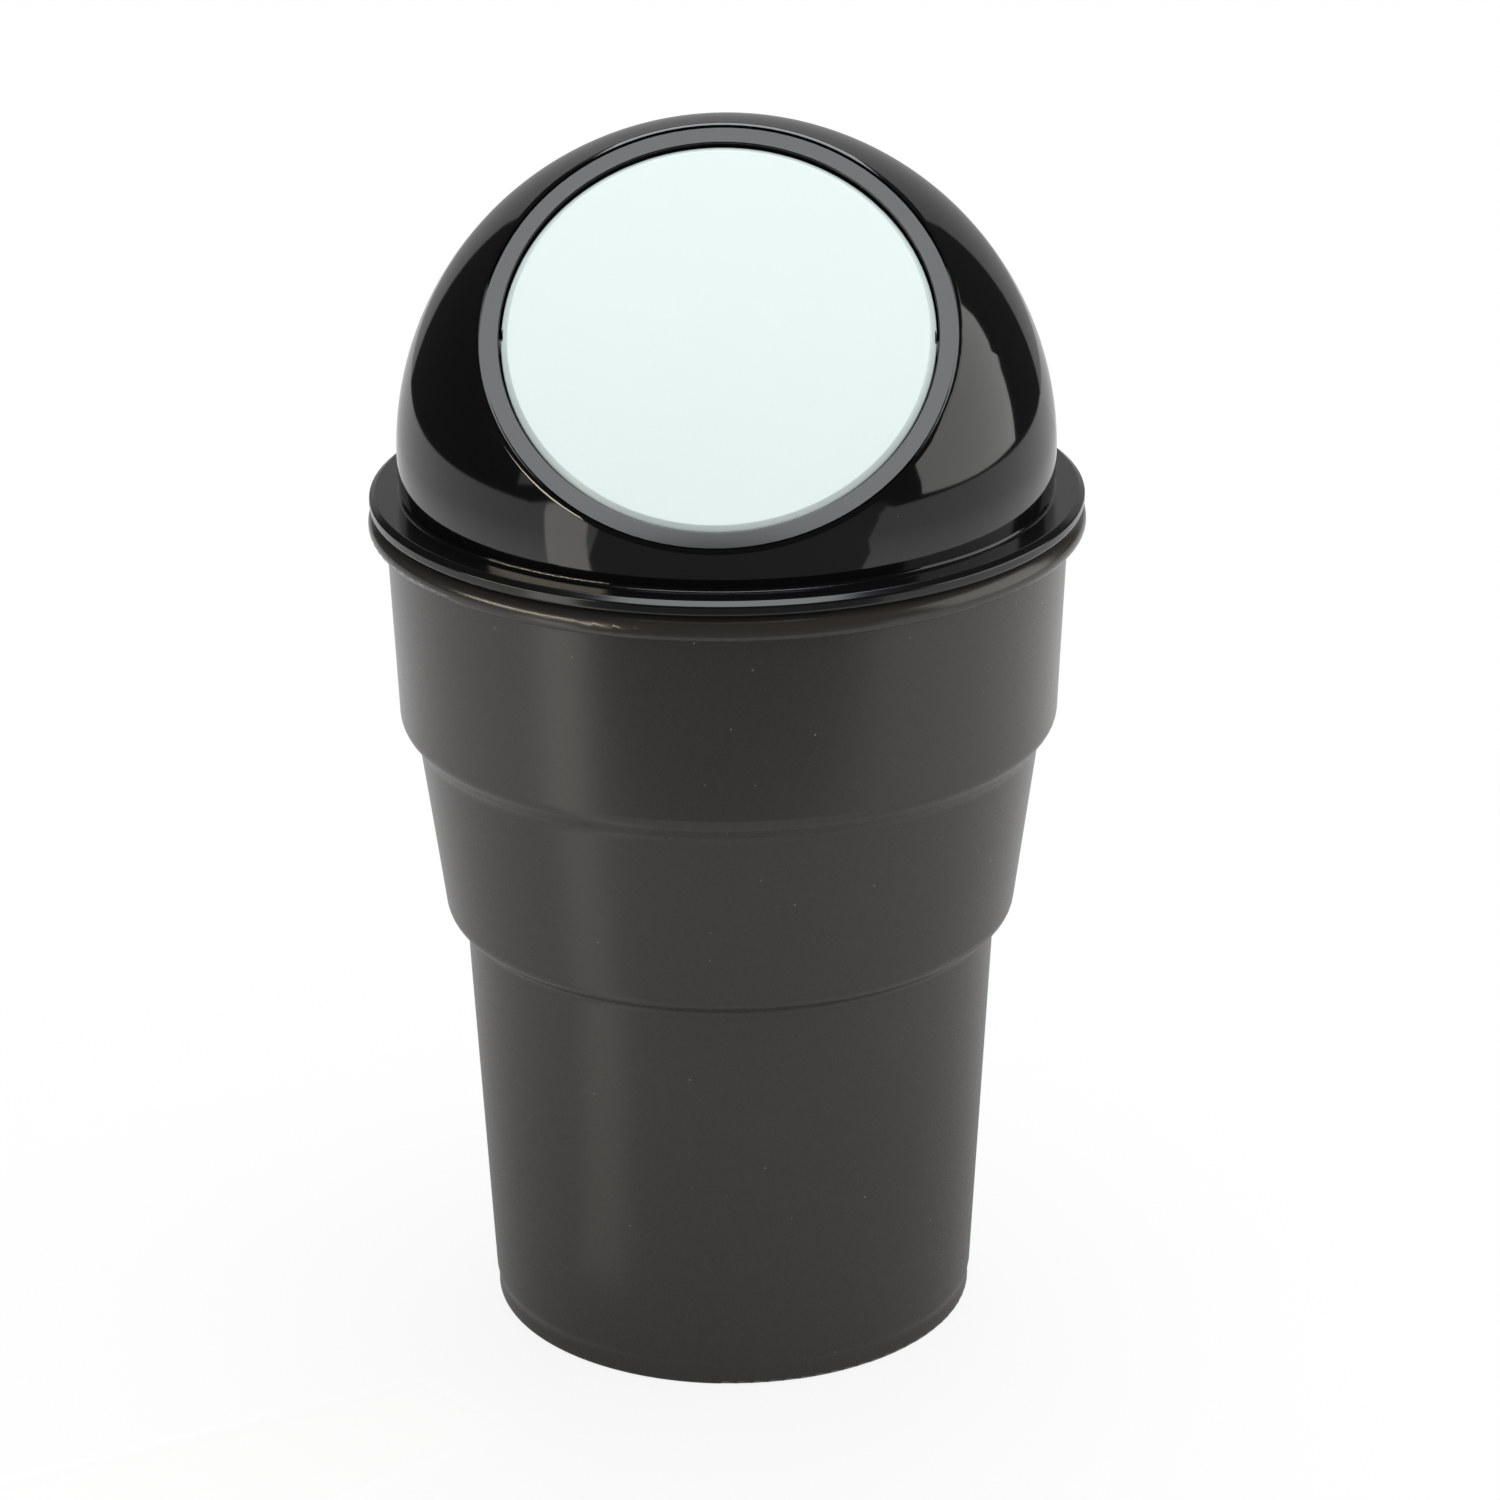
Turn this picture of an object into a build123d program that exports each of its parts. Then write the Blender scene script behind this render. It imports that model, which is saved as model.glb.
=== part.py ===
"""Car trash bin: a stepped cup for a drink holder, a domed lid and a sprung swing flap.

Millimetres, +Z up. The origin is the centre of the foot, on the surface the bin stands on.
The tilted opening and its flap face -Y.
"""

import os
from math import cos, degrees, pi, radians, sin, sqrt, tan

from build123d import *

# Cup, outside, from the foot up
foot_radius = 31.2
foot_round = 0.6
foot_ring_width = 3.0
foot_recess = 1.2
crease_height = 2.4
crease_half_height = 1.0
crease_depth = 0.05
crease_step = 0.25
crease_round = 3.0
lower_tier_height = 54.9
lower_taper_deg = 3.1
lower_step = 2.34
lower_ledge_slope_deg = 25.0
lower_outer_round = 2.6
lower_inner_round = 1.8
middle_tier_height = 26.5
middle_taper_deg = 7.64
upper_step = 2.15
upper_ledge_slope_deg = 50.0
upper_outer_round = 2.6
upper_inner_round = 2.6
upper_tier_height = 24.8
upper_taper_deg = 2.52

# Cup, turned-down rim
rim_overhang = 2.19
rim_height = 3.1
rim_lip_thickness = 1.4
rim_groove_depth = 1.4
rim_round = 1.9
rim_under_round = 1.0
rim_edge_round = 0.3

# Cup, inside
cup_wall = 1.5
cup_floor = 1.8
floor_round = 3.0

# Lid, flange and plug
lid_seat_gap = 0.15
lid_setback = 0.2
flange_thickness = 1.85
flange_bevel_run = 0.75
flange_bevel_slope_deg = 36.0
flange_bevel_round = 0.3
flange_under_round = 0.5
flange_edge_round = 0.3
plug_clearance = 0.25
plug_wall = 1.4
plug_depth = 5.5
plug_lead_in = 0.6

# Lid, dome
dome_setback = 3.6
dome_centre_rise = 5.0
dome_wall = 1.6
dome_foot_round = 0.4

# Lid, tilted opening
opening_tilt_deg = 45.0
opening_cut_depth = 11.95
opening_edge_round = 1.2
lip_width = 0.18
ring_setback = 0.26
seam_width = 0.3
seam_depth = 0.4
ring_width = 2.1
ring_inner_round = 0.15
collar_wall = 2.0
collar_depth = 7.75
stop_ledge_width = 1.3
stop_ledge_thickness = 1.2
stop_ledge_half_angle_deg = 50.0
stop_gap = 0.2

# Flap
flap_clearance = 0.24
flap_recess = 0.2
flap_plate = 1.4
flap_bevel_width = 0.78
flap_bevel_drop = 0.5
flap_bevel_round = 0.3
flap_root_round = 0.6
flap_skirt_wall = 1.6
flap_skirt_depth = 5.2
flap_skirt_draft = 0.15
flap_skirt_round = 0.3

# Pivot of the flap
pivot_depth = 3.2
pin_radius = 0.85
pin_reach = 1.5
pin_clearance = 0.06
pin_end_gap = 0.15
pin_chamfer = 0.2
lead_in_depth = 0.3
notch_depth = 0.25
notch_width = 1.65

# Return spring on the left pivot
wire_radius = 0.22
coil_clearance = 0.13
post_radius = 0.95
post_length = 4.6
coil_whole_turns = 4
coil_pitch = 0.56
coil_end_gap = 1.0
leg_gap = 0.05
moving_leg_length = 9.0
fixed_leg_angle_deg = 130.0
fixed_leg_length = 5.0
fixed_leg_bend = 0.7
anchor_reach = 1.2
anchor_clearance = 0.13


def offset_inward(points, distance):
    """Shift an open run of straight walls to its left, keeping each wall parallel."""
    shifted = []
    for index, point in enumerate(points):
        before = points[max(index - 1, 0)]
        after = points[min(index + 1, len(points) - 1)]
        normals = []
        for start, end in ((before, point), (point, after)):
            if (end - start).length > 0:
                along = (end - start).normalized()
                normals.append(Vector(-along.Y, along.X))
        mitre = normals[0] + normals[-1]
        shifted.append(point + mitre * (distance / (1 + normals[0].dot(normals[-1]))))
    return shifted


def profile_face(corners):
    """Close corners (radius, height, round) into a face; a round is limited by its two walls."""
    points = [Vector(radius, height) for radius, height, _ in corners]
    count = len(points)
    tangents = []
    for index, (_, _, wanted) in enumerate(corners):
        arriving = points[index] - points[index - 1]
        leaving = points[(index + 1) % count] - points[index]
        tangents.append(wanted * tan(radians(arriving.get_angle(leaving) / 2)))
    face = make_face(Polyline(*points, close=True))
    for index, (_, _, wanted) in enumerate(corners):
        if wanted == 0:
            continue
        room = 1.0
        for neighbour in (index - 1, (index + 1) % count):
            wall = (points[index] - points[neighbour]).length
            room = min(room, 0.95 * wall / (tangents[index] + tangents[neighbour]))
        vertex = face.vertices().sort_by_distance(points[index])[0]
        face = fillet(vertex, wanted * room)
    return face


def spin(face):
    """Turn a half section about the upright axis."""
    return revolve(Plane.XZ * face, Axis.Z)


def taper(radius, angle_deg, height):
    """Radius reached by a drafted wall after the given height."""
    return radius + tan(radians(angle_deg)) * height


# Heights and radii that follow from the driving sizes
lower_wall_radius = foot_radius + crease_step
crease_top = crease_height + crease_half_height
lower_shoulder = lower_tier_height
upper_shoulder = lower_shoulder + middle_tier_height
rim_bottom = upper_shoulder + upper_tier_height
rim_top = rim_bottom + rim_height
lower_drop = lower_step * tan(radians(lower_ledge_slope_deg))
upper_drop = upper_step * tan(radians(upper_ledge_slope_deg))
lower_top_radius = taper(lower_wall_radius, lower_taper_deg, lower_shoulder - lower_drop - crease_top)
middle_foot_radius = lower_top_radius + lower_step
middle_top_radius = taper(middle_foot_radius, middle_taper_deg, middle_tier_height - upper_drop)
upper_foot_radius = middle_top_radius + upper_step
upper_top_radius = taper(upper_foot_radius, upper_taper_deg, upper_tier_height)
groove_top = rim_bottom + rim_groove_depth
rim_radius = upper_top_radius + rim_overhang
mouth_radius = taper(upper_top_radius, upper_taper_deg, rim_height) - cup_wall
floor_top = foot_recess + cup_floor


def make_cup():
    """One moulding: foot ring, three drafted tiers, two ledges and a turned-down rim."""
    foot_inner = foot_radius - foot_ring_width
    groove_foot = taper(upper_top_radius, upper_taper_deg, rim_groove_depth)
    outside = [
        Vector(lower_wall_radius, crease_top),
        Vector(lower_top_radius, lower_shoulder - lower_drop),
        Vector(middle_foot_radius, lower_shoulder),
        Vector(middle_top_radius, upper_shoulder - upper_drop),
        Vector(upper_foot_radius, upper_shoulder),
        Vector(mouth_radius + cup_wall, rim_top),
    ]
    inside = offset_inward(outside, cup_wall)
    floor_radius = inside[0].X - tan(radians(lower_taper_deg)) * (inside[0].Y - floor_top)
    corners = [
        (0, foot_recess, 0),
        (foot_inner, foot_recess, foot_round),
        (foot_inner, 0, foot_round),
        (foot_radius, 0, foot_round),
        (foot_radius, crease_height - crease_half_height, crease_round),
        (foot_radius - crease_depth, crease_height, crease_round),
        (lower_wall_radius, crease_top, crease_round),
        (lower_top_radius, lower_shoulder - lower_drop, lower_inner_round),
        (middle_foot_radius, lower_shoulder, lower_outer_round),
        (middle_top_radius, upper_shoulder - upper_drop, upper_inner_round),
        (upper_foot_radius, upper_shoulder, upper_outer_round),
        (groove_foot, groove_top, rim_edge_round),
        (rim_radius - rim_lip_thickness, groove_top, rim_edge_round),
        (rim_radius - rim_lip_thickness, rim_bottom, rim_edge_round),
        (rim_radius, rim_bottom, rim_under_round),
        (rim_radius, rim_top, rim_round),
        (mouth_radius, rim_top, rim_edge_round),
        (inside[4].X, inside[4].Y, max(upper_outer_round - cup_wall, rim_edge_round)),
        (inside[3].X, inside[3].Y, upper_inner_round + cup_wall),
        (inside[2].X, inside[2].Y, max(lower_outer_round - cup_wall, rim_edge_round)),
        (inside[1].X, inside[1].Y, lower_inner_round + cup_wall),
        (floor_radius, floor_top, floor_round),
        (0, floor_top, 0),
    ]
    return spin(profile_face(corners))


# Lid heights and radii, each from the rim that carries it
flange_bottom = rim_top + lid_seat_gap
flange_top = flange_bottom + flange_thickness
lid_radius = rim_radius - lid_setback
dome_radius = lid_radius - dome_setback
dome_inner_radius = dome_radius - dome_wall
dome_centre = flange_top + dome_centre_rise
lip_distance = dome_radius - opening_cut_depth
lip_radius = sqrt(dome_radius**2 - lip_distance**2)
pocket_radius = lip_radius - lip_width
ring_radius = pocket_radius - seam_width
opening_radius = ring_radius - ring_width
pivot_distance = lip_distance - ring_setback - flap_recess - pivot_depth

# The opening's own frame has its origin on the pivot: x across, y up the slope, z outwards
facing = Vector(0, -cos(radians(opening_tilt_deg)), sin(radians(opening_tilt_deg)))
pivot = Vector(0, 0, dome_centre) + facing * pivot_distance
opening = Plane(origin=pivot, x_dir=(1, 0, 0), z_dir=facing)
ring_level = pivot_depth + flap_recess
lip_level = ring_level + ring_setback
collar_bottom = ring_level - collar_depth
skirt_bottom = pivot_depth - flap_skirt_depth
ledge_top = skirt_bottom - stop_gap
flap_radius = opening_radius - flap_clearance
skirt_inner_radius = flap_radius - flap_skirt_wall
plate_underside = pivot_depth - flap_plate
pin_end = opening_radius + pin_reach
hole_radius = pin_radius + pin_clearance

# The spring's own frame starts where the fixed leg meets the coil, with z along the pivot
coil_radius = post_radius + coil_clearance + wire_radius
coil_rise = coil_pitch / sqrt(coil_pitch**2 + (2 * pi * coil_radius) ** 2)
coil_run = sqrt(1 - coil_rise**2)
coil_start = -skirt_inner_radius + coil_end_gap
coil_start_deg = fixed_leg_angle_deg + 90
leg_lift = plate_underside - leg_gap - wire_radius - coil_radius
moving_leg_deg = degrees(leg_lift / moving_leg_length)
coil_turns = coil_whole_turns + (270 - moving_leg_deg - coil_start_deg) / 360
coil_frame = Plane(
    origin=(coil_start, 0, 0),
    x_dir=(0, -cos(radians(coil_start_deg)), -sin(radians(coil_start_deg))),
    z_dir=(1, 0, 0),
)
fixed_leg_corner = Vector(coil_radius, -fixed_leg_length * coil_run, -fixed_leg_length * coil_rise)
anchor_point = coil_frame.from_local_coords(fixed_leg_corner)


def bar(radius, start, end):
    """Round bar along the pivot axis between two places across the bin."""
    return Pos((start + end) / 2, 0, 0) * Rot(0, 90, 0) * Cylinder(radius, abs(end - start))


def make_lid():
    """One moulding: plug, flange and dome, with a tilted ring, its collar, ledge and pivot holes."""
    plug_bottom = flange_bottom - plug_depth
    plug_top_radius = mouth_radius - plug_clearance
    plug_foot_radius = taper(plug_top_radius, -upper_taper_deg, plug_depth)
    dome_inner_foot = sqrt(dome_inner_radius**2 - dome_centre_rise**2)
    bevel_foot = flange_top - flange_bevel_run * tan(radians(flange_bevel_slope_deg))
    flange = profile_face([
        (plug_foot_radius - plug_wall, plug_bottom, flange_edge_round),
        (plug_foot_radius - plug_lead_in, plug_bottom, flange_edge_round),
        (plug_foot_radius, plug_bottom + plug_lead_in, flange_edge_round),
        (plug_top_radius, flange_bottom, flange_edge_round),
        (lid_radius, flange_bottom, flange_under_round),
        (lid_radius, bevel_foot, flange_bevel_round),
        (lid_radius - flange_bevel_run, flange_top, flange_bevel_round),
        (dome_inner_foot, flange_top, 0),
    ])
    # The ball's poles lie on the opening's axis, where the cuts take them away
    shell = opening * Pos(0, 0, -pivot_distance) * (Sphere(dome_radius) - Sphere(dome_inner_radius))
    kept = Pos(0, 0, flange_top + dome_radius) * Box(4 * dome_radius, 4 * dome_radius, 2 * dome_radius)
    dome_foot = sqrt(dome_radius**2 - dome_centre_rise**2)
    lid = spin(flange) + (shell & kept)
    lid = fillet(circle_edge(lid, Vector(0, 0, flange_top), dome_foot), dome_foot_round)

    lid -= opening * Pos(0, 0, lip_level) * extrude(Circle(2 * dome_radius), dome_radius)
    lid = fillet(circle_edge(lid, pivot + facing * lip_level, lip_radius), opening_edge_round)
    collar_ring = Circle(opening_radius + collar_wall)
    lid += opening * Pos(0, 0, collar_bottom) * extrude(collar_ring, collar_depth)
    lid -= opening * Pos(0, 0, ring_level) * extrude(Circle(pocket_radius), dome_radius)
    seam = Circle(pocket_radius) - Circle(ring_radius)
    lid -= opening * Pos(0, 0, ring_level - seam_depth) * extrude(seam, seam_depth)
    lid -= opening * Pos(0, 0, collar_bottom) * extrude(Circle(opening_radius), collar_depth)
    lid = fillet(circle_edge(lid, pivot + facing * ring_level, opening_radius), ring_inner_round)

    lid += opening * make_stop_ledge()
    for side in (-1, 1):
        lid -= opening * bar(hole_radius, side * flap_radius, side * (pin_end + pin_end_gap))
        lead_in = Box(2 * lead_in_depth, 2 * pin_radius, -2 * collar_bottom)
        lid -= opening * Pos(side * opening_radius, 0, collar_bottom) * lead_in
    anchor_end = -opening_radius - anchor_reach - anchor_clearance
    anchor_hole = bar(wire_radius + anchor_clearance, -skirt_inner_radius, anchor_end)
    lid -= opening * Pos(0, anchor_point.Y, anchor_point.Z) * anchor_hole
    return lid


def circle_edge(solid, centre, radius):
    """The solid's circular edge that has the given centre and radius."""
    circles = solid.edges().filter_by(GeomType.CIRCLE)
    return circles.sort_by(lambda edge: abs(edge.radius - radius) + (edge.arc_center - centre).length)[0]


def make_stop_ledge():
    """Ledge inside the upper half of the collar, which the closed flap's skirt lies on."""
    section = profile_face([
        (opening_radius + collar_wall / 2, ledge_top - stop_ledge_thickness, 0),
        (opening_radius + collar_wall / 2, ledge_top, 0),
        (opening_radius - stop_ledge_width, ledge_top, flange_edge_round),
        (opening_radius - stop_ledge_width, ledge_top - stop_ledge_thickness, flange_edge_round),
    ])
    arc = revolve(Plane.XZ * section, Axis.Z, 2 * stop_ledge_half_angle_deg)
    return Rot(0, 0, 90 - stop_ledge_half_angle_deg) * arc


def make_flap():
    """One moulding: round plate, short skirt, two pivot pins and the post that carries the coil."""
    skirt_foot = flap_radius - flap_skirt_draft
    flap = spin(profile_face([
        (0, pivot_depth, 0),
        (0, plate_underside, 0),
        (skirt_inner_radius, plate_underside, flap_root_round),
        (skirt_foot - flap_skirt_wall, skirt_bottom, flap_skirt_round),
        (skirt_foot, skirt_bottom, flap_skirt_round),
        (flap_radius, pivot_depth - flap_bevel_drop, flap_bevel_round),
        (flap_radius - flap_bevel_width, pivot_depth, flap_bevel_round),
    ]))
    notch = Box(2 * notch_depth, notch_width, 2 * (pivot_depth - hole_radius))
    for side in (-1, 1):
        flap -= Pos(side * flap_radius, 0, pivot_depth) * notch
        pin = bar(pin_radius, side * (skirt_inner_radius + flap_skirt_wall / 2), side * pin_end)
        end = pin.edges().filter_by(GeomType.CIRCLE).sort_by(lambda edge: side * edge.arc_center.X)[-1]
        flap += chamfer(end, pin_chamfer)
    post_start = -skirt_inner_radius - flap_skirt_wall / 2
    post = bar(post_radius, post_start, post_length - skirt_inner_radius)
    end = post.edges().filter_by(GeomType.CIRCLE).sort_by(lambda edge: edge.arc_center.X)[-1]
    flap += chamfer(end, pin_chamfer)
    return opening * flap


def make_spring():
    """Torsion spring of round wire: a fixed leg hooked into the collar, a coil and a moving leg."""
    start = Vector(coil_radius, 0, 0)
    anchor_run = -opening_radius - anchor_reach - anchor_point.X
    fixed_leg = FilletPolyline(
        fixed_leg_corner + Vector(0, 0, anchor_run),
        fixed_leg_corner,
        start,
        radius=fixed_leg_bend,
    )
    coil = Helix(coil_pitch, coil_pitch * coil_turns, coil_radius)
    end = coil @ 1
    moving_leg = Line(end, end + (coil % 1) * moving_leg_length)
    path = Wire([*fixed_leg.edges(), *coil.edges(), moving_leg])
    section = Plane(origin=path @ 0, z_dir=path % 0) * Circle(wire_radius)
    return opening * (coil_frame * sweep(section, path=path)), path.length


os.makedirs("parts", exist_ok=True)
spring, wire_length = make_spring()
nodes = {
    "bin_cup": make_cup(),
    "dome_lid": make_lid(),
    "swing_flap": make_flap(),
    "return_spring": spring,
}
for name, shape in nodes.items():
    export_step(shape, f"parts/{name}.step")
    print(name, "volume", round(shape.volume, 1), "mm3, valid", shape.is_valid)
print("height", round(dome_centre + dome_radius, 2), "mm, rim diameter", round(2 * rim_radius, 2), "mm")
print("spring wire", round(wire_length, 1), "mm, section times length", round(wire_length * pi * wire_radius**2, 3))
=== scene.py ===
import math

import bmesh
import bpy
from mathutils import Matrix, Vector


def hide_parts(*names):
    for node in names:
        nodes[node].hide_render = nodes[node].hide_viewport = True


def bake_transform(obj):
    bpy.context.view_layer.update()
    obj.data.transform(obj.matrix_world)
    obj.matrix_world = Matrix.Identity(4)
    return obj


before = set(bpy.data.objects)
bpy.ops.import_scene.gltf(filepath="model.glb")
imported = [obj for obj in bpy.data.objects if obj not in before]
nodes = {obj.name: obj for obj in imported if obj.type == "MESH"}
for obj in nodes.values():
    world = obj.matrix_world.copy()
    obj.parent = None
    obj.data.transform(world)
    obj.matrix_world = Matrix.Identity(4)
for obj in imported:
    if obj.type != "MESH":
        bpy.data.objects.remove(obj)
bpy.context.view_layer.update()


# Cup: one moulding in charcoal polypropylene, three drafted tiers with a turned-down rim. The tool
# was blasted with sand, apart from the rim's part of it, which is smoother. The skin picks up dust.
def to_linear(hex_colour):
    """Linear RGBA of an sRGB hex colour."""
    channels = [int(hex_colour[start:start + 2], 16) / 255 for start in (1, 3, 5)]
    return [c / 12.92 if c <= 0.04045 else ((c + 0.055) / 1.055) ** 2.4 for c in channels] + [1.0]


def add(tree, kind, inputs=None, **settings):
    """Add a shader node. Settings are its own options, and inputs are values or sockets to link."""
    node = tree.nodes.new("ShaderNode" + kind)
    for name, value in settings.items():
        setattr(node, name, value)
    for name, value in (inputs or {}).items():
        if isinstance(value, bpy.types.NodeSocket):
            tree.links.new(value, node.inputs[name])
        else:
            node.inputs[name].default_value = value
    return node


def cells_of(size_mm):
    """Texture scale, in cells to the metre, that makes one cell this many millimetres."""
    return 1000 / size_mm


# Satin polypropylene off a blasted tool: dark warm grey, a broad soft sheen and bright grazing edges.
# The real grain is under 0.1 mm, too fine to show, so it is drawn coarser. So is the dust.
satin_polypropylene = bpy.data.materials.new("satin_polypropylene")
satin_polypropylene.use_nodes = True
tree = satin_polypropylene.node_tree
tree.nodes.clear()
place = add(tree, "TexCoord").outputs["Object"]
blasted_grain_mm = 0.25
flow_mark_mm = 22.0
dust_spacing_mm = 3.6
dust_radius_mm = 0.13
rim_edge_height = 0.1062
rim_fade = 0.0004
rim_roughness = 0.22
flow = add(tree, "TexNoise", {"Vector": place, "Scale": cells_of(flow_mark_mm), "Detail": 2.0})
grain = add(tree, "TexNoise", {"Vector": place, "Scale": cells_of(blasted_grain_mm), "Detail": 1.0})
colour = add(tree, "Mix", {
    "Factor": flow.outputs["Fac"], "A": to_linear("#35312D"), "B": to_linear("#3A3632"),
}, data_type="RGBA")
specks = add(tree, "TexVoronoi", {"Vector": place, "Scale": cells_of(dust_spacing_mm)})
dust = add(tree, "MapRange", {
    "Value": specks.outputs["Distance"],
    "From Min": dust_radius_mm / dust_spacing_mm, "From Max": 0.5 * dust_radius_mm / dust_spacing_mm,
})
dusty = add(tree, "Mix", {
    "Factor": dust.outputs["Result"], "A": colour.outputs["Result"], "B": to_linear("#8E8B84"),
}, data_type="RGBA")
blasted = add(tree, "MapRange", {"Value": grain.outputs["Fac"], "To Min": 0.25, "To Max": 0.32})
height = add(tree, "SeparateXYZ", {"Vector": place})
on_rim = add(tree, "MapRange", {
    "Value": height.outputs["Z"], "From Min": rim_edge_height, "From Max": rim_edge_height + rim_fade,
})
roughness = add(tree, "Mix", {
    "Factor": on_rim.outputs["Result"], "A": blasted.outputs["Result"], "B": rim_roughness,
}, data_type="FLOAT")
relief = add(tree, "Bump", {"Height": grain.outputs["Fac"], "Strength": 0.4, "Distance": 0.00001})
skin = add(tree, "BsdfPrincipled", {
    "Base Color": dusty.outputs["Result"], "Roughness": roughness.outputs["Result"],
    "IOR": 1.5, "Normal": relief.outputs["Normal"],
})
add(tree, "OutputMaterial", {"Surface": skin.outputs["BSDF"]})
nodes["bin_cup"].material_slots[0].material = satin_polypropylene


# Domed lid: one moulding in black ABS from a polished tool, pushed into the cup by its plug. The
# dome comes out as a mirror and the flange a little duller, where fingers lift the lid.
# Polished ABS: near black, with sharp lamps in it that waver where the plastic shrank, and some dust
polished_abs = bpy.data.materials.new("polished_abs")
polished_abs.use_nodes = True
tree = polished_abs.node_tree
tree.nodes.clear()
place = add(tree, "TexCoord").outputs["Object"]
shrink_wave_mm = 16.0
lid_dust_spacing_mm = 4.4
lid_dust_radius_mm = 0.1
flange_top = 0.1113
flange_fade = 0.0004
flange_roughness = 0.17
wave = add(tree, "TexNoise", {"Vector": place, "Scale": cells_of(shrink_wave_mm), "Detail": 1.5})
specks = add(tree, "TexVoronoi", {"Vector": place, "Scale": cells_of(lid_dust_spacing_mm)})
dust = add(tree, "MapRange", {
    "Value": specks.outputs["Distance"],
    "From Min": lid_dust_radius_mm / lid_dust_spacing_mm,
    "From Max": 0.5 * lid_dust_radius_mm / lid_dust_spacing_mm,
})
dusty = add(tree, "Mix", {
    "Factor": dust.outputs["Result"], "A": to_linear("#101011"), "B": to_linear("#5C5A57"),
}, data_type="RGBA")
polished = add(tree, "MapRange", {"Value": wave.outputs["Fac"], "To Min": 0.045, "To Max": 0.07})
height = add(tree, "SeparateXYZ", {"Vector": place})
above_flange = add(tree, "MapRange", {
    "Value": height.outputs["Z"], "From Min": flange_top, "From Max": flange_top + flange_fade,
})
roughness = add(tree, "Mix", {
    "Factor": above_flange.outputs["Result"], "A": flange_roughness, "B": polished.outputs["Result"],
}, data_type="FLOAT")
relief = add(tree, "Bump", {"Height": wave.outputs["Fac"], "Strength": 1.0, "Distance": 0.000004})
skin = add(tree, "BsdfPrincipled", {
    "Base Color": dusty.outputs["Result"], "Roughness": roughness.outputs["Result"],
    "IOR": 1.53, "Normal": relief.outputs["Normal"],
})
add(tree, "OutputMaterial", {"Surface": skin.outputs["BSDF"]})
nodes["dome_lid"].material_slots[0].material = polished_abs


# Swing flap: one moulding in white ABS with two pins snapped into the lid's collar. Its face is
# left plain, off a fine tool.
# Fine-grained ABS: an even, slightly cool white with a soft sheen. Its grain is drawn coarser than it is
white_abs = bpy.data.materials.new("white_abs")
white_abs.use_nodes = True
tree = white_abs.node_tree
tree.nodes.clear()
place = add(tree, "TexCoord").outputs["Object"]
face_grain_mm = 0.3
cloud_mm = 15.0
cloud = add(tree, "TexNoise", {"Vector": place, "Scale": cells_of(cloud_mm), "Detail": 2.0})
grain = add(tree, "TexNoise", {"Vector": place, "Scale": cells_of(face_grain_mm), "Detail": 1.0})
colour = add(tree, "Mix", {
    "Factor": cloud.outputs["Fac"], "A": to_linear("#E9F4F0"), "B": to_linear("#EDF7F3"),
}, data_type="RGBA")
roughness = add(tree, "MapRange", {"Value": grain.outputs["Fac"], "To Min": 0.26, "To Max": 0.34})
relief = add(tree, "Bump", {"Height": grain.outputs["Fac"], "Strength": 0.4, "Distance": 0.000008})
skin = add(tree, "BsdfPrincipled", {
    "Base Color": colour.outputs["Result"], "Roughness": roughness.outputs["Result"],
    "IOR": 1.53, "Normal": relief.outputs["Normal"],
})
add(tree, "OutputMaterial", {"Surface": skin.outputs["BSDF"]})
nodes["swing_flap"].material_slots[0].material = white_abs


# Return spring: a torsion spring wound from 0.44 mm steel wire on the post behind the flap's left
# pin. Its outer leg is hooked in the lid's collar, and its inner leg lies on the flap and swings
# with it, so the coil between them winds up.
pivot = Vector((0.0, -0.0182098, 0.1345098))
across = Vector((1.0, 0.0, 0.0))
up_slope = Vector((0.0, 1.0, 1.0)).normalized()
outwards = across.cross(up_slope)
wire_radius = 0.00022
coil_radius = 0.0013
coil_pitch = 0.00056
coil_turns = 4.1348
coil_outer_end = -0.0236620
hook_end = -0.0277020
first_turn = math.radians(220)
outer_leg_length = 0.005
outer_leg_bend = 0.0007
inner_leg_length = 0.009
steps_to_turn = 30
steps_to_bend = 8
wire_sides = 14


def round_coil(angle, along):
    """A point of the coil's line, by angle from its start and place across the bin."""
    side = math.cos(first_turn + angle) * up_slope + math.sin(first_turn + angle) * outwards
    return pivot + across * along - side * coil_radius


def wire_line():
    """The wire's middle line from the hook in the collar, round the coil, to the leg on the flap."""
    start = round_coil(0.0, coil_outer_end)
    rise = coil_pitch / math.hypot(coil_pitch, 2 * math.pi * coil_radius)
    small_angle = 0.01
    leg_way = round_coil(small_angle, coil_outer_end) - round_coil(-small_angle, coil_outer_end)
    leg_way = leg_way.normalized() * math.sqrt(1 - rise * rise) + across * rise
    corner = start - leg_way * outer_leg_length
    line = [Vector((hook_end, corner.y, corner.z))]
    bend = math.pi / 2 + math.asin(rise)
    set_back = outer_leg_bend * math.tan(bend / 2)
    for step in range(steps_to_bend + 1):
        part = step / steps_to_bend
        into = corner - across * (1 - part) * set_back
        line.append(into.lerp(corner + leg_way * part * set_back, part))
    coil_steps = int(coil_turns * steps_to_turn)
    for step in range(coil_steps + 1):
        angle = 2 * math.pi * coil_turns * step / coil_steps
        line.append(round_coil(angle, coil_outer_end + coil_pitch * coil_turns * step / coil_steps))
    last_way = (line[-1] - line[-2]).normalized()
    line.append(line[-1] + last_way * inner_leg_length)
    return line


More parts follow.
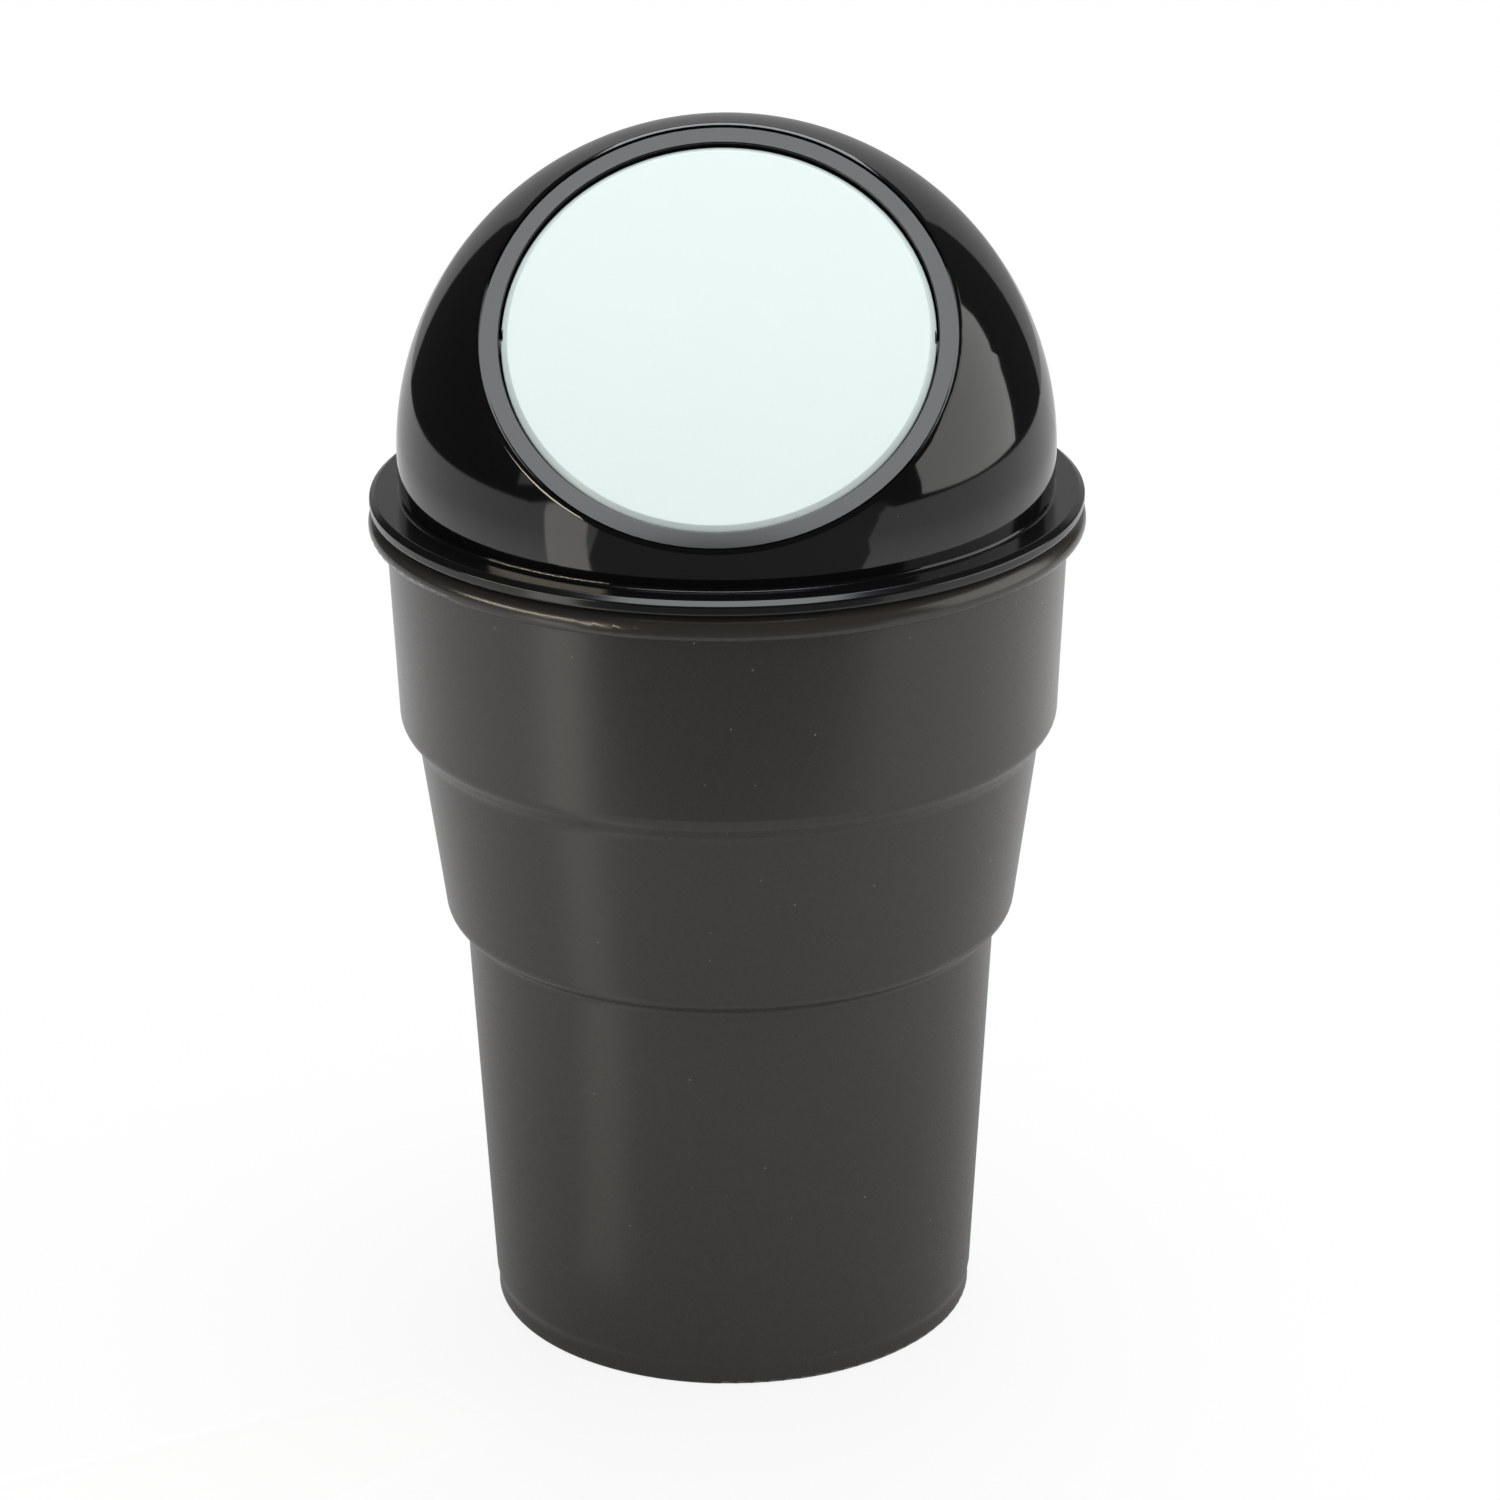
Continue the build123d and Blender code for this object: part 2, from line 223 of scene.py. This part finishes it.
def wire_mesh(name, line, radius, sides):
    """A round wire with closed ends along a line of points, turned as little as the line lets it."""
    form = bmesh.new()
    rings = []
    side = None
    for step, point in enumerate(line):
        way = (line[min(step + 1, len(line) - 1)] - line[max(step - 1, 0)]).normalized()
        side = way.orthogonal() if side is None else side - way * side.dot(way)
        side.normalize()
        other = way.cross(side)
        angles = [2 * math.pi * corner / sides for corner in range(sides)]
        rings.append([
            form.verts.new(point + radius * (math.cos(a) * side + math.sin(a) * other)) for a in angles
        ])
    for near, far in zip(rings, rings[1:]):
        for corner in range(sides):
            after = (corner + 1) % sides
            form.faces.new((near[corner], near[after], far[after], far[corner])).smooth = True
    form.faces.new(list(reversed(rings[0])))
    form.faces.new(rings[-1])
    mesh = bpy.data.meshes.new(name)
    form.to_mesh(mesh)
    form.free()
    return mesh


spring_wire = bpy.data.objects.new(
    "spring_wire", wire_mesh("spring_wire", wire_line(), wire_radius, wire_sides)
)
bpy.context.scene.collection.objects.link(spring_wire)

# Drawn spring steel: the die leaves fine lines on the wire, so its highlight is streaked and soft.
# The lines are drawn coarser than the real ones, which are too fine to show.
drawn_steel = bpy.data.materials.new("drawn_spring_steel")
drawn_steel.use_nodes = True
tree = drawn_steel.node_tree
tree.nodes.clear()
place = add(tree, "TexCoord").outputs["Object"]
die_line_mm = 0.12
lines = add(tree, "TexNoise", {"Vector": place, "Scale": cells_of(die_line_mm), "Detail": 2.0})
colour = add(tree, "Mix", {
    "Factor": lines.outputs["Fac"], "A": to_linear("#A9ABAD"), "B": to_linear("#C9CACB"),
}, data_type="RGBA")
roughness = add(tree, "MapRange", {"Value": lines.outputs["Fac"], "To Min": 0.2, "To Max": 0.38})
skin = add(tree, "BsdfPrincipled", {
    "Base Color": colour.outputs["Result"], "Roughness": roughness.outputs["Result"], "Metallic": 1.0,
})
add(tree, "OutputMaterial", {"Surface": skin.outputs["BSDF"]})
spring_wire.data.materials.append(drawn_steel)
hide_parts("return_spring")
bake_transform(spring_wire)


# Table: a round sheet of white board under the bin, a hair below its foot. It stays white to the
# lens and to clear parts, apart from the bin's own soft shadow.
def stage_sheet(name, outline, height, material):
    """A flat sheet of the set, from its outline in metres."""
    mesh = bpy.data.meshes.new(name)
    form = bmesh.new()
    form.faces.new([form.verts.new((x, y, height)) for x, y in outline])
    form.to_mesh(mesh)
    form.free()
    mesh.materials.append(material)
    sheet = bpy.data.objects.new(name, mesh)
    bpy.context.scene.collection.objects.link(sheet)
    return sheet


# White board: plain white to the lens, and darkest at the bin's foot. The bin's gloss shows it as a glow
# with painted shade:
# a painted shadow that is dim near the foot, brightest a quarter of a metre away, and painted shade again
# towards the table's edge.
white_board = bpy.data.materials.new("white_board")
white_board.use_nodes = True
tree = white_board.node_tree
tree.nodes.clear()
board_radius = 0.75
board_height = -0.0001
board_corners = 96
shadow_inner = 0.045
shadow_outer = 0.2
shadow_kept = 0.12
# The gloss values set the board's painted shade in reflections: a painted shadow of the bin near its foot,
# and painted shade towards the edge
gloss_inner = 0.035
gloss_outer = 0.25
gloss_end = 0.42
gloss_at_foot = 0.42
gloss_at_best = 1.05
gloss_kept_at_end = 0.66
middle = add(tree, "TexCoord").outputs["Object"]
from_middle = add(tree, "VectorMath", {0: middle}, operation="LENGTH")
clear_of_shadow = add(tree, "MapRange", {
    "Value": from_middle.outputs["Value"], "From Min": shadow_inner, "From Max": shadow_outer,
    "To Min": 1.0 - shadow_kept, "To Max": 1.0,
}, interpolation_type="SMOOTHSTEP")
path = add(tree, "LightPath")
seen = add(tree, "Math", {
    0: path.outputs["Is Camera Ray"], 1: path.outputs["Is Transmission Ray"],
}, operation="ADD")
# Painted shadow of the bin, seen only in gloss: the board's glow is dimmer near the foot
painted_foot_shadow = add(tree, "MapRange", {
    "Value": from_middle.outputs["Value"], "From Min": gloss_inner, "From Max": gloss_outer,
    "To Min": gloss_at_foot, "To Max": gloss_at_best,
})
painted_edge_shade = add(tree, "MapRange", {
    "Value": from_middle.outputs["Value"], "From Min": gloss_outer, "From Max": gloss_end,
    "To Min": 1.0, "To Max": gloss_kept_at_end,
})
painted_gloss_light = add(tree, "Math", {
    0: painted_foot_shadow.outputs["Result"], 1: painted_edge_shade.outputs["Result"],
}, operation="MULTIPLY")
share = add(tree, "Math", {
    0: seen.outputs["Value"], 1: clear_of_shadow.outputs["Result"],
}, operation="MULTIPLY", use_clamp=True)
board = add(tree, "BsdfDiffuse", {"Color": to_linear("#EDEDEC")})
white = add(tree, "Emission", {"Color": to_linear("#FFFFFF"), "Strength": 1.0})
lit = add(tree, "MixShader", {
    "Fac": share.outputs["Value"], 1: board.outputs["BSDF"], 2: white.outputs["Emission"],
})
# The board glows by itself for gloss rays, at the painted-shade strength above, in place of its lit surface
painted_mirror_glow = add(tree, "Emission", {
    "Color": to_linear("#FFFFFF"), "Strength": painted_gloss_light.outputs["Value"],
})
surface = add(tree, "MixShader", {
    "Fac": path.outputs["Is Glossy Ray"], 1: lit.outputs["Shader"], 2: painted_mirror_glow.outputs["Emission"],
})
add(tree, "OutputMaterial", {"Surface": surface.outputs["Shader"]})
stage_sheet("table_board", [
    (board_radius * math.cos(2 * math.pi * step / board_corners),
     board_radius * math.sin(2 * math.pi * step / board_corners))
    for step in range(board_corners)
], board_height, white_board)


# Grey card: a sheet of painted shade on the table in front of the bin, out of the lens's sight. It stands
# for the dark room in front:
# the polished dome and the cup's front show it, which keeps them dark between the two bright sides.
# Its fibres make the grey slightly uneven, which only the dome's mirror could show
front_shade_card = bpy.data.materials.new("front_shade_card")
front_shade_card.use_nodes = True
tree = front_shade_card.node_tree
tree.nodes.clear()
fibre_mm = 2.0
card_height = 0.0006
place = add(tree, "TexCoord").outputs["Object"]
fibres = add(tree, "TexNoise", {"Vector": place, "Scale": cells_of(fibre_mm)})
colour = add(tree, "Mix", {
    "Factor": fibres.outputs["Fac"], "A": to_linear("#787878"), "B": to_linear("#7E7E7E"),
}, data_type="RGBA")
card = add(tree, "BsdfDiffuse", {"Color": colour.outputs["Result"]})
add(tree, "OutputMaterial", {"Surface": card.outputs["BSDF"]})
card_sheet = stage_sheet("front_shade_card", [
    (-0.159, -0.176), (-0.207, -0.217), (-0.304, -0.355), (-0.468, -0.587), (-0.2, -0.82),
    (0.2, -0.82), (0.704, -0.432), (0.5, -0.368), (0.373, -0.3), (0.291, -0.253), (0.241, -0.203),
    (0.181, -0.171), (0.0, -0.172),
], card_height, front_shade_card)
card_sheet.visible_camera = False


# Reflector: a long wedge of card lying on the table at the left front, out of the lens's sight. It is no
# lamp but glows by itself, painted light in place of lamp light on a card. It draws the upright light band
# down the left of every tier and of the dome.
# Its glow is painted dimmer towards the bin, as if the light fell on its far end, and so is the band at the
# foot
glowing_card = bpy.data.materials.new("glowing_card")
glowing_card.use_nodes = True
tree = glowing_card.node_tree
tree.nodes.clear()
wedge_height = 0.0012
wedge_near = 0.05
wedge_far = 0.72
wedge_near_azimuths_deg = (-33.0, -52.0)
wedge_far_azimuths_deg = (-45.0, -60.0)
brightest_from = 0.26
dimmest = 0.8
brightest = 2.2
place = add(tree, "TexCoord").outputs["Object"]
from_bin = add(tree, "VectorMath", {0: place}, operation="LENGTH")
# Painted fall-off of light: the card's glow is dimmer towards the bin
brightness = add(tree, "MapRange", {
    "Value": from_bin.outputs["Value"], "From Min": wedge_near, "From Max": brightest_from,
    "To Min": dimmest, "To Max": brightest,
})
glare = add(tree, "Emission", {
    "Color": to_linear("#FFFCF6"), "Strength": brightness.outputs["Result"],
})
add(tree, "OutputMaterial", {"Surface": glare.outputs["Emission"]})
wedge_corners = [
    (wedge_near, wedge_near_azimuths_deg[0]), (wedge_far, wedge_far_azimuths_deg[0]),
    (wedge_far, wedge_far_azimuths_deg[1]), (wedge_near, wedge_near_azimuths_deg[1]),
]
wedge_sheet = stage_sheet("glowing_card", [
    (distance * math.sin(math.radians(azimuth)), -distance * math.cos(math.radians(azimuth)))
    for distance, azimuth in wedge_corners
], wedge_height, glowing_card)
wedge_sheet.visible_camera = False


# Lamps: softboxes round the lid, each placed by its azimuth from the front, its height and its
# distance. The overhead one does most of the lighting and draws the dome's upper window.
lid_middle = Vector((0.0, 0.0, 0.125))


def softbox(name, azimuth, elevation, distance, width, height, radiance, colour, diffuse=True, glossy=True):
    """A lamp that faces the lid with an even radiance. Azimuth goes from the front to the right."""
    turn = math.radians(azimuth)
    rise = math.radians(elevation)
    towards = Vector((
        math.sin(turn) * math.cos(rise), -math.cos(turn) * math.cos(rise), math.sin(rise),
    ))
    light = bpy.data.lights.new(name, "AREA")
    light.shape = "RECTANGLE"
    light.size = width
    light.size_y = height
    light.color = to_linear(colour)[:3]
    light.energy = math.pi * width * height * radiance
    lamp = bpy.data.objects.new(name, light)
    lamp.location = lid_middle + towards * distance
    lamp.rotation_euler = towards.to_track_quat("Z", "Y").to_euler()
    lamp.visible_camera = False
    lamp.visible_diffuse = diffuse
    lamp.visible_glossy = glossy
    bpy.context.scene.collection.objects.link(lamp)


softbox(
    "overhead_softbox", azimuth=180, elevation=76.5, distance=0.9, width=0.66, height=1.25,
    radiance=3.95, colour="#F8FDFF",
)

# White panel at the right, which the dome shows as a tall window beside the ring
softbox(
    "right_panel", azimuth=93.5, elevation=13, distance=0.6, width=0.56, height=0.48,
    radiance=1.8, colour="#FFFFFA",
)

# Warm strip at the left front and the paler patch under it: both are seen in gloss alone. The strip
# draws the cream line along the lower left of the ring and the soft highlight on the cup's rim.
softbox(
    "warm_strip", azimuth=-61, elevation=8.5, distance=0.6, width=0.5, height=0.07,
    radiance=12.0, colour="#FFF3DC", diffuse=False,
)
softbox(
    "strip_glow", azimuth=-54, elevation=-1.5, distance=0.6, width=0.36, height=0.1,
    radiance=0.55, colour="#FFFDF8", diffuse=False,
)

# Front fill: lifts the flap and the cup's front, and isn't mirrored in them
softbox(
    "front_fill", azimuth=0, elevation=6, distance=0.9, width=1.0, height=0.6,
    radiance=0.9, colour="#FBFDFF", glossy=False,
)


# Room: white to the lens all round. Gloss shows it dark in front, with a pale backdrop behind, and
# everything else gets a weak even fill from it.
room = bpy.data.worlds.new("studio_room")
bpy.context.scene.world = room
room.use_nodes = True
tree = room.node_tree
tree.nodes.clear()
backdrop_edge_deg = 32.0
edge_softness = 0.02
gloss_in_front = 0.03
gloss_behind = 0.36
fill_strength = 0.3
ways = add(tree, "SeparateXYZ", {"Vector": add(tree, "TexCoord").outputs["Generated"]})
sideways = add(tree, "Math", {0: ways.outputs["X"]}, operation="ABSOLUTE")
within = add(tree, "Math", {
    0: sideways.outputs["Value"], 1: -1 / math.tan(math.radians(backdrop_edge_deg)), 2: ways.outputs["Y"],
}, operation="MULTIPLY_ADD")
behind = add(tree, "MapRange", {
    "Value": within.outputs["Value"], "From Min": -edge_softness, "From Max": edge_softness,
    "To Min": gloss_in_front, "To Max": gloss_behind,
}, interpolation_type="SMOOTHSTEP")
path = add(tree, "LightPath")
seen = add(tree, "Math", {
    0: path.outputs["Is Camera Ray"], 1: path.outputs["Is Transmission Ray"],
}, operation="ADD")
share = add(tree, "Math", {
    0: path.outputs["Is Glossy Ray"], 1: behind.outputs["Result"], 2: seen.outputs["Value"],
}, operation="MULTIPLY_ADD", use_clamp=True)
fill = add(tree, "Background", {"Color": to_linear("#F7FAFC"), "Strength": fill_strength})
dark = add(tree, "Background", {"Color": to_linear("#000000"), "Strength": 0.0})
around = add(tree, "MixShader", {
    "Fac": path.outputs["Is Glossy Ray"], 1: fill.outputs["Background"], 2: dark.outputs["Background"],
})
white = add(tree, "Background", {"Color": to_linear("#FFFFFF"), "Strength": 1.0})
surround = add(tree, "MixShader", {
    "Fac": share.outputs["Value"], 1: around.outputs["Shader"], 2: white.outputs["Background"],
})
add(tree, "OutputWorld", {"Surface": surround.outputs["Shader"]})


# Camera: a long lens from slightly above and just right of the front, as the photograph has it.
lens_mm = 122.83
sensor_mm = 36.0
eye = Vector((0.02605, -0.61103, 0.31485))
turn_deg = 2.191
pitch_deg = 21.4035
roll_deg = -0.3851
camera_data = bpy.data.cameras.new("camera")
camera_data.sensor_width = sensor_mm
camera_data.lens = lens_mm
camera = bpy.data.objects.new("camera", camera_data)
camera.matrix_world = (
    Matrix.Translation(eye)
    @ Matrix.Rotation(math.radians(turn_deg), 4, "Z")
    @ Matrix.Rotation(math.radians(90 - pitch_deg), 4, "X")
    @ Matrix.Rotation(math.radians(roll_deg), 4, "Z")
)
bpy.context.scene.collection.objects.link(camera)
bpy.context.scene.camera = camera
bpy.context.scene.view_settings.view_transform = "Standard"


bpy.context.view_layer.update()
